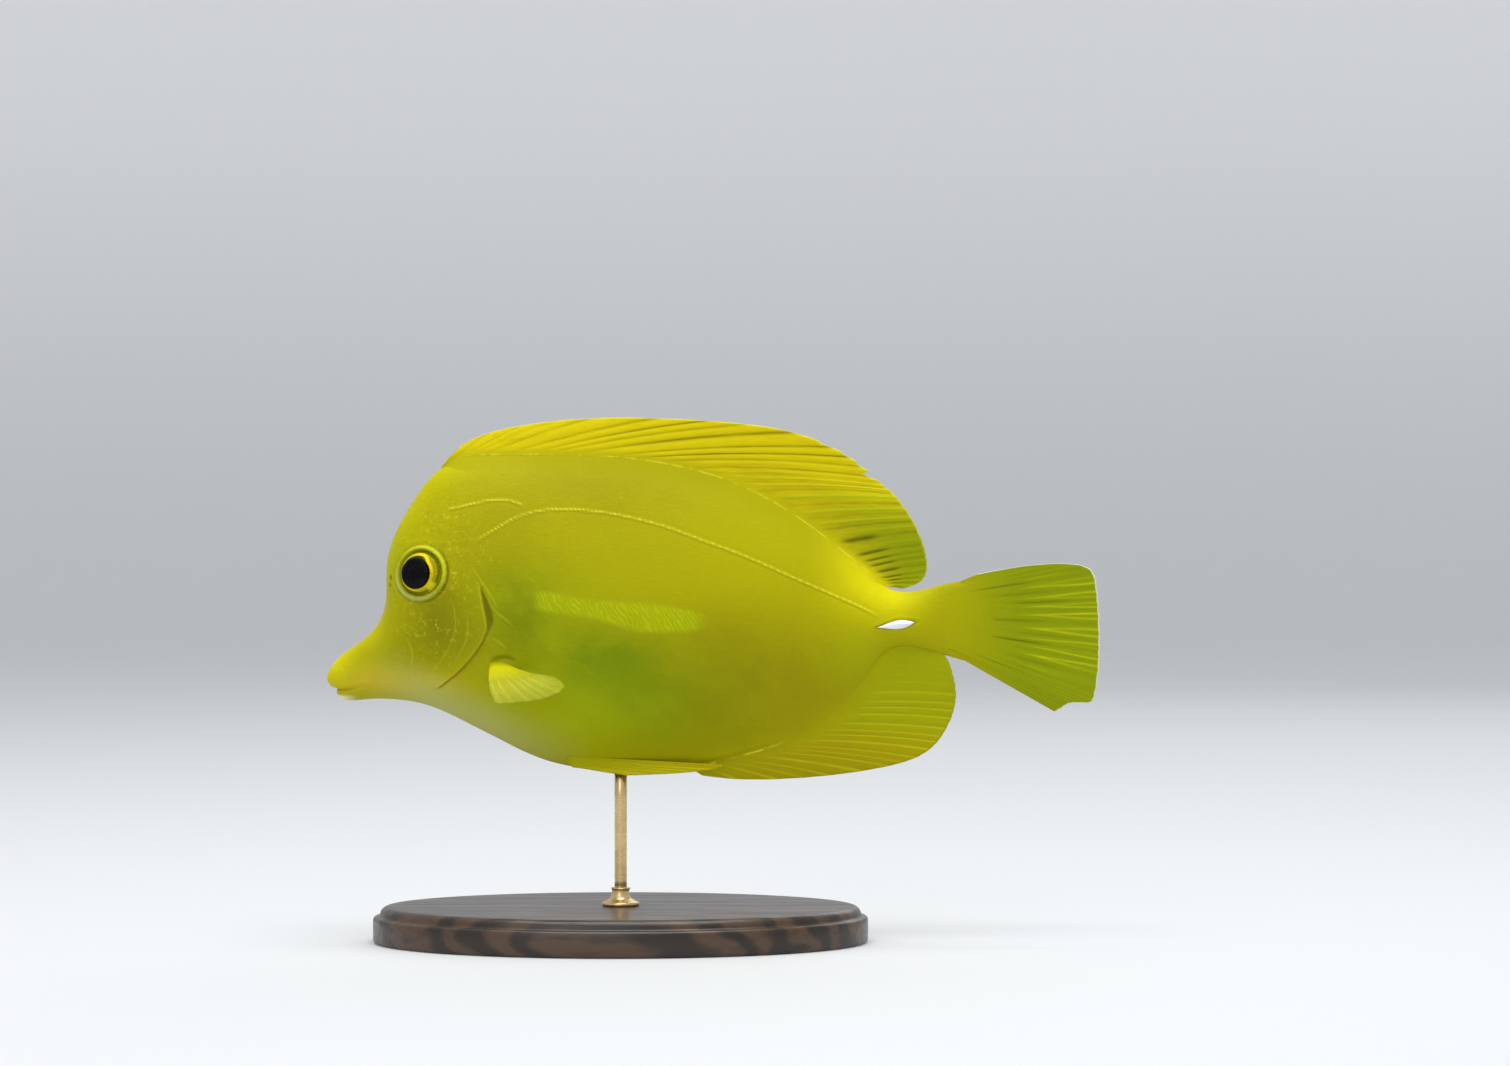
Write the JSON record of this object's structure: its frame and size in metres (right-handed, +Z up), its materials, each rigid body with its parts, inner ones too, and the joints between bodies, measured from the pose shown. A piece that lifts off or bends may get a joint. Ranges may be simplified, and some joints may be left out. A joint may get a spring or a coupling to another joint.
{
  "type": "yellow tang",
  "caption": "Life-size model of a yellow tang, a tall, flat sea fish with a pointed snout and long low fins, swimming level on a plain oval display stand with a rod.",
  "frame": {"origin": "on the underside of the stand's base, below the middle of the fish's length", "axes": "+X towards the tail, +Y to the fish's right, +Z up"},
  "size_m": [0.15, 0.066, 0.1017],
  "materials": {
    "skin": "satin, fine scales",
    "fin": "satin, thin membrane with rays",
    "iris": "glossy",
    "pupil": "glossy",
    "spine": "smooth",
    "wood": "satin dark wood",
    "brass": "brushed"
  },
  "bodies": {
    "root": {"head": "skin", "upper_lip": "skin", "lower_jaw": "skin", "gill_cover_left": "skin", "gill_cover_right": "skin", "trunk": "skin", "tail_stalk": "skin", "eye_left": "iris", "eye_right": "iris", "pupil_left": "pupil", "pupil_right": "pupil", "tail_spine_left": "spine", "tail_spine_right": "spine", "dorsal_fin": "fin", "anal_fin": "fin", "tail_fin": "fin", "pectoral_fin_left": "fin", "pectoral_fin_right": "fin", "pelvic_fin_left": "fin", "pelvic_fin_right": "fin", "stand_base": "wood", "stand_collar": "brass", "stand_rod": "brass"}
  },
  "joints": []
}
